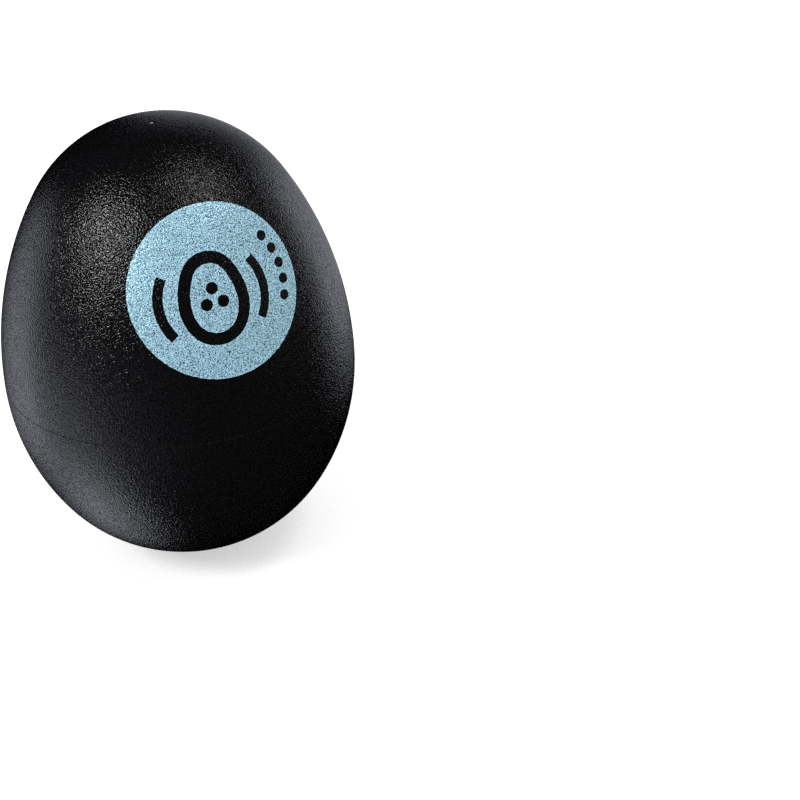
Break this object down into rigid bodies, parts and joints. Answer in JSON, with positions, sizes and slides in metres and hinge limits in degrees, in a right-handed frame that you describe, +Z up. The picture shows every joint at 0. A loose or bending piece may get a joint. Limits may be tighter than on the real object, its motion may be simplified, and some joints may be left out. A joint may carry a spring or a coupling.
{
  "type": "egg shaker",
  "caption": "Egg-shaped plastic hand shaker: two hollow halves joined at the widest plane, a round print on the side, and loose steel shot that rattles inside.",
  "frame": {"origin": "foot of the egg's axis, at the pole of the blunt end", "axes": "+Z up the egg's axis from the blunt end to the nose; the print faces -Y"},
  "size_m": [0.045, 0.045, 0.0585],
  "materials": {
    "shell_plastic": "black, fine spark-eroded grain with a satin sheen",
    "print_ink": "pale blue pad print that follows the grain of the plastic",
    "steel_shot": "tumbled carbon steel balls"
  },
  "bodies": {
    "shell": {"lower_shell": "shell_plastic", "upper_shell": "shell_plastic", "printed_roundel": "print_ink"},
    "centre_shot": {"centre_shot": "steel_shot"},
    "inner_shot_1": {"inner_shot_1": "steel_shot"},
    "inner_shot_2": {"inner_shot_2": "steel_shot"},
    "inner_shot_3": {"inner_shot_3": "steel_shot"},
    "inner_shot_4": {"inner_shot_4": "steel_shot"},
    "inner_shot_5": {"inner_shot_5": "steel_shot"},
    "inner_shot_6": {"inner_shot_6": "steel_shot"},
    "middle_shot_1": {"middle_shot_1": "steel_shot"},
    "middle_shot_2": {"middle_shot_2": "steel_shot"},
    "middle_shot_3": {"middle_shot_3": "steel_shot"},
    "middle_shot_4": {"middle_shot_4": "steel_shot"},
    "middle_shot_5": {"middle_shot_5": "steel_shot"},
    "middle_shot_6": {"middle_shot_6": "steel_shot"},
    "middle_shot_7": {"middle_shot_7": "steel_shot"},
    "middle_shot_8": {"middle_shot_8": "steel_shot"},
    "middle_shot_9": {"middle_shot_9": "steel_shot"},
    "middle_shot_10": {"middle_shot_10": "steel_shot"},
    "middle_shot_11": {"middle_shot_11": "steel_shot"},
    "middle_shot_12": {"middle_shot_12": "steel_shot"},
    "outer_shot_1": {"outer_shot_1": "steel_shot"},
    "outer_shot_2": {"outer_shot_2": "steel_shot"},
    "outer_shot_3": {"outer_shot_3": "steel_shot"},
    "outer_shot_4": {"outer_shot_4": "steel_shot"},
    "outer_shot_5": {"outer_shot_5": "steel_shot"},
    "outer_shot_6": {"outer_shot_6": "steel_shot"},
    "outer_shot_7": {"outer_shot_7": "steel_shot"},
    "outer_shot_8": {"outer_shot_8": "steel_shot"},
    "outer_shot_9": {"outer_shot_9": "steel_shot"},
    "outer_shot_10": {"outer_shot_10": "steel_shot"},
    "outer_shot_11": {"outer_shot_11": "steel_shot"},
    "outer_shot_12": {"outer_shot_12": "steel_shot"},
    "outer_shot_13": {"outer_shot_13": "steel_shot"},
    "outer_shot_14": {"outer_shot_14": "steel_shot"},
    "outer_shot_15": {"outer_shot_15": "steel_shot"},
    "outer_shot_16": {"outer_shot_16": "steel_shot"},
    "outer_shot_17": {"outer_shot_17": "steel_shot"},
    "outer_shot_18": {"outer_shot_18": "steel_shot"}
  },
  "joints": [
    {"name": "centre_shot_rattle", "type": "slide", "parent": "shell", "child": "centre_shot", "axis": [0, 0, 1], "range_m": [0, 0.0502]},
    {"name": "inner_shot_1_rattle", "type": "slide", "parent": "shell", "child": "inner_shot_1", "axis": [0, 0, 1], "range_m": [0, 0.0487]},
    {"name": "inner_shot_2_rattle", "type": "slide", "parent": "shell", "child": "inner_shot_2", "axis": [0, 0, 1], "range_m": [0, 0.0487]},
    {"name": "inner_shot_3_rattle", "type": "slide", "parent": "shell", "child": "inner_shot_3", "axis": [0, 0, 1], "range_m": [0, 0.0487]},
    {"name": "inner_shot_4_rattle", "type": "slide", "parent": "shell", "child": "inner_shot_4", "axis": [0, 0, 1], "range_m": [0, 0.0487]},
    {"name": "inner_shot_5_rattle", "type": "slide", "parent": "shell", "child": "inner_shot_5", "axis": [0, 0, 1], "range_m": [0, 0.0487]},
    {"name": "inner_shot_6_rattle", "type": "slide", "parent": "shell", "child": "inner_shot_6", "axis": [0, 0, 1], "range_m": [0, 0.0487]},
    {"name": "middle_shot_1_rattle", "type": "slide", "parent": "shell", "child": "middle_shot_1", "axis": [0, 0, 1], "range_m": [0, 0.0436]},
    {"name": "middle_shot_2_rattle", "type": "slide", "parent": "shell", "child": "middle_shot_2", "axis": [0, 0, 1], "range_m": [0, 0.0436]},
    {"name": "middle_shot_3_rattle", "type": "slide", "parent": "shell", "child": "middle_shot_3", "axis": [0, 0, 1], "range_m": [0, 0.0436]},
    {"name": "middle_shot_4_rattle", "type": "slide", "parent": "shell", "child": "middle_shot_4", "axis": [0, 0, 1], "range_m": [0, 0.0436]},
    {"name": "middle_shot_5_rattle", "type": "slide", "parent": "shell", "child": "middle_shot_5", "axis": [0, 0, 1], "range_m": [0, 0.0436]},
    {"name": "middle_shot_6_rattle", "type": "slide", "parent": "shell", "child": "middle_shot_6", "axis": [0, 0, 1], "range_m": [0, 0.0436]},
    {"name": "middle_shot_7_rattle", "type": "slide", "parent": "shell", "child": "middle_shot_7", "axis": [0, 0, 1], "range_m": [0, 0.0436]},
    {"name": "middle_shot_8_rattle", "type": "slide", "parent": "shell", "child": "middle_shot_8", "axis": [0, 0, 1], "range_m": [0, 0.0436]},
    {"name": "middle_shot_9_rattle", "type": "slide", "parent": "shell", "child": "middle_shot_9", "axis": [0, 0, 1], "range_m": [0, 0.0436]},
    {"name": "middle_shot_10_rattle", "type": "slide", "parent": "shell", "child": "middle_shot_10", "axis": [0, 0, 1], "range_m": [0, 0.0436]},
    {"name": "middle_shot_11_rattle", "type": "slide", "parent": "shell", "child": "middle_shot_11", "axis": [0, 0, 1], "range_m": [0, 0.0436]},
    {"name": "middle_shot_12_rattle", "type": "slide", "parent": "shell", "child": "middle_shot_12", "axis": [0, 0, 1], "range_m": [0, 0.0436]},
    {"name": "outer_shot_1_rattle", "type": "slide", "parent": "shell", "child": "outer_shot_1", "axis": [0, 0, 1], "range_m": [0, 0.0315]},
    {"name": "outer_shot_2_rattle", "type": "slide", "parent": "shell", "child": "outer_shot_2", "axis": [0, 0, 1], "range_m": [0, 0.0315]},
    {"name": "outer_shot_3_rattle", "type": "slide", "parent": "shell", "child": "outer_shot_3", "axis": [0, 0, 1], "range_m": [0, 0.0315]},
    {"name": "outer_shot_4_rattle", "type": "slide", "parent": "shell", "child": "outer_shot_4", "axis": [0, 0, 1], "range_m": [0, 0.0315]},
    {"name": "outer_shot_5_rattle", "type": "slide", "parent": "shell", "child": "outer_shot_5", "axis": [0, 0, 1], "range_m": [0, 0.0315]},
    {"name": "outer_shot_6_rattle", "type": "slide", "parent": "shell", "child": "outer_shot_6", "axis": [0, 0, 1], "range_m": [0, 0.0315]},
    {"name": "outer_shot_7_rattle", "type": "slide", "parent": "shell", "child": "outer_shot_7", "axis": [0, 0, 1], "range_m": [0, 0.0315]},
    {"name": "outer_shot_8_rattle", "type": "slide", "parent": "shell", "child": "outer_shot_8", "axis": [0, 0, 1], "range_m": [0, 0.0315]},
    {"name": "outer_shot_9_rattle", "type": "slide", "parent": "shell", "child": "outer_shot_9", "axis": [0, 0, 1], "range_m": [0, 0.0315]},
    {"name": "outer_shot_10_rattle", "type": "slide", "parent": "shell", "child": "outer_shot_10", "axis": [0, 0, 1], "range_m": [0, 0.0315]},
    {"name": "outer_shot_11_rattle", "type": "slide", "parent": "shell", "child": "outer_shot_11", "axis": [0, 0, 1], "range_m": [0, 0.0315]},
    {"name": "outer_shot_12_rattle", "type": "slide", "parent": "shell", "child": "outer_shot_12", "axis": [0, 0, 1], "range_m": [0, 0.0315]},
    {"name": "outer_shot_13_rattle", "type": "slide", "parent": "shell", "child": "outer_shot_13", "axis": [0, 0, 1], "range_m": [0, 0.0315]},
    {"name": "outer_shot_14_rattle", "type": "slide", "parent": "shell", "child": "outer_shot_14", "axis": [0, 0, 1], "range_m": [0, 0.0315]},
    {"name": "outer_shot_15_rattle", "type": "slide", "parent": "shell", "child": "outer_shot_15", "axis": [0, 0, 1], "range_m": [0, 0.0315]},
    {"name": "outer_shot_16_rattle", "type": "slide", "parent": "shell", "child": "outer_shot_16", "axis": [0, 0, 1], "range_m": [0, 0.0315]},
    {"name": "outer_shot_17_rattle", "type": "slide", "parent": "shell", "child": "outer_shot_17", "axis": [0, 0, 1], "range_m": [0, 0.0315]},
    {"name": "outer_shot_18_rattle", "type": "slide", "parent": "shell", "child": "outer_shot_18", "axis": [0, 0, 1], "range_m": [0, 0.0315]}
  ]
}
